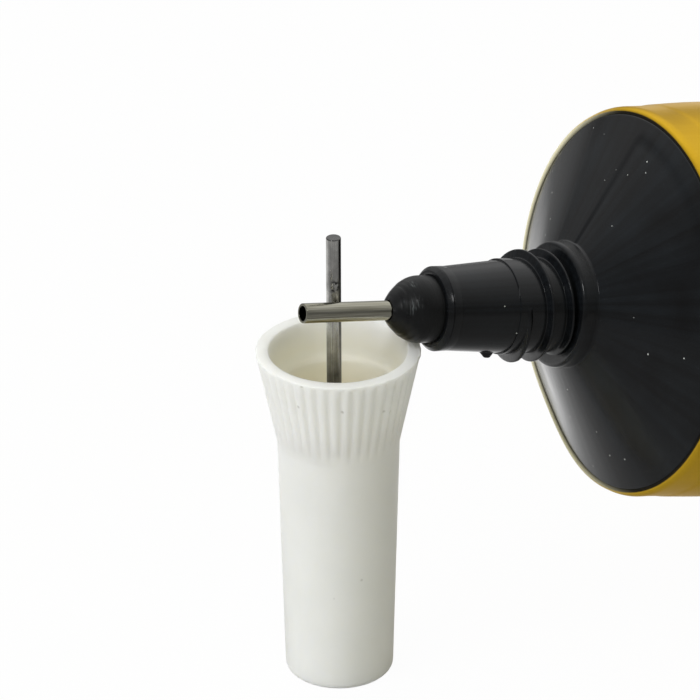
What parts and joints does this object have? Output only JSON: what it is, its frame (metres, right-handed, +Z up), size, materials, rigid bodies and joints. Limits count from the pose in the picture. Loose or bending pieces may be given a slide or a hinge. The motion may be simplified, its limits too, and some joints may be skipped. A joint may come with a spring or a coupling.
{
  "type": "glue tube",
  "caption": "Gold laminate glue tube with a black shoulder and needle nozzle, its nozzle resting on the upturned fluted white cap with a steel clearing pin.",
  "frame": {"origin": "on the ground, under the middle of the whole assembly's box", "axes": "+X runs along the tube from the needle's tip to the crimped tail, +Y to the side along the crimp, +Z up"},
  "size_m": [0.1866, 0.055, 0.0481],
  "materials": {
    "gold_laminate": "gold metallised laminate, satin gloss",
    "black_shoulder": "moulded black polyethylene, semi-gloss",
    "barrier": "natural moulded barrier plastic",
    "adhesive": "amber viscous glue",
    "black_plug": "moulded black polypropylene, satin, scuffed",
    "needle_steel": "drawn stainless steel, bright",
    "white_cap": "moulded white polyethylene, satin, slightly translucent",
    "pin_steel": "drawn steel wire, dull"
  },
  "bodies": {
    "tube": {"tube_sleeve": "gold_laminate", "shoulder_neck": "black_shoulder", "barrier_insert": "barrier", "adhesive_fill": "adhesive", "nozzle_plug": "black_plug", "dosing_needle": "needle_steel"},
    "cap": {"cap": "white_cap", "cap_pin": "pin_steel"}
  },
  "joints": [
    {"name": "cap_pull", "type": "slide", "parent": "tube", "child": "cap", "axis": [-1, 0, 0], "range_m": [0, 0.06]}
  ]
}
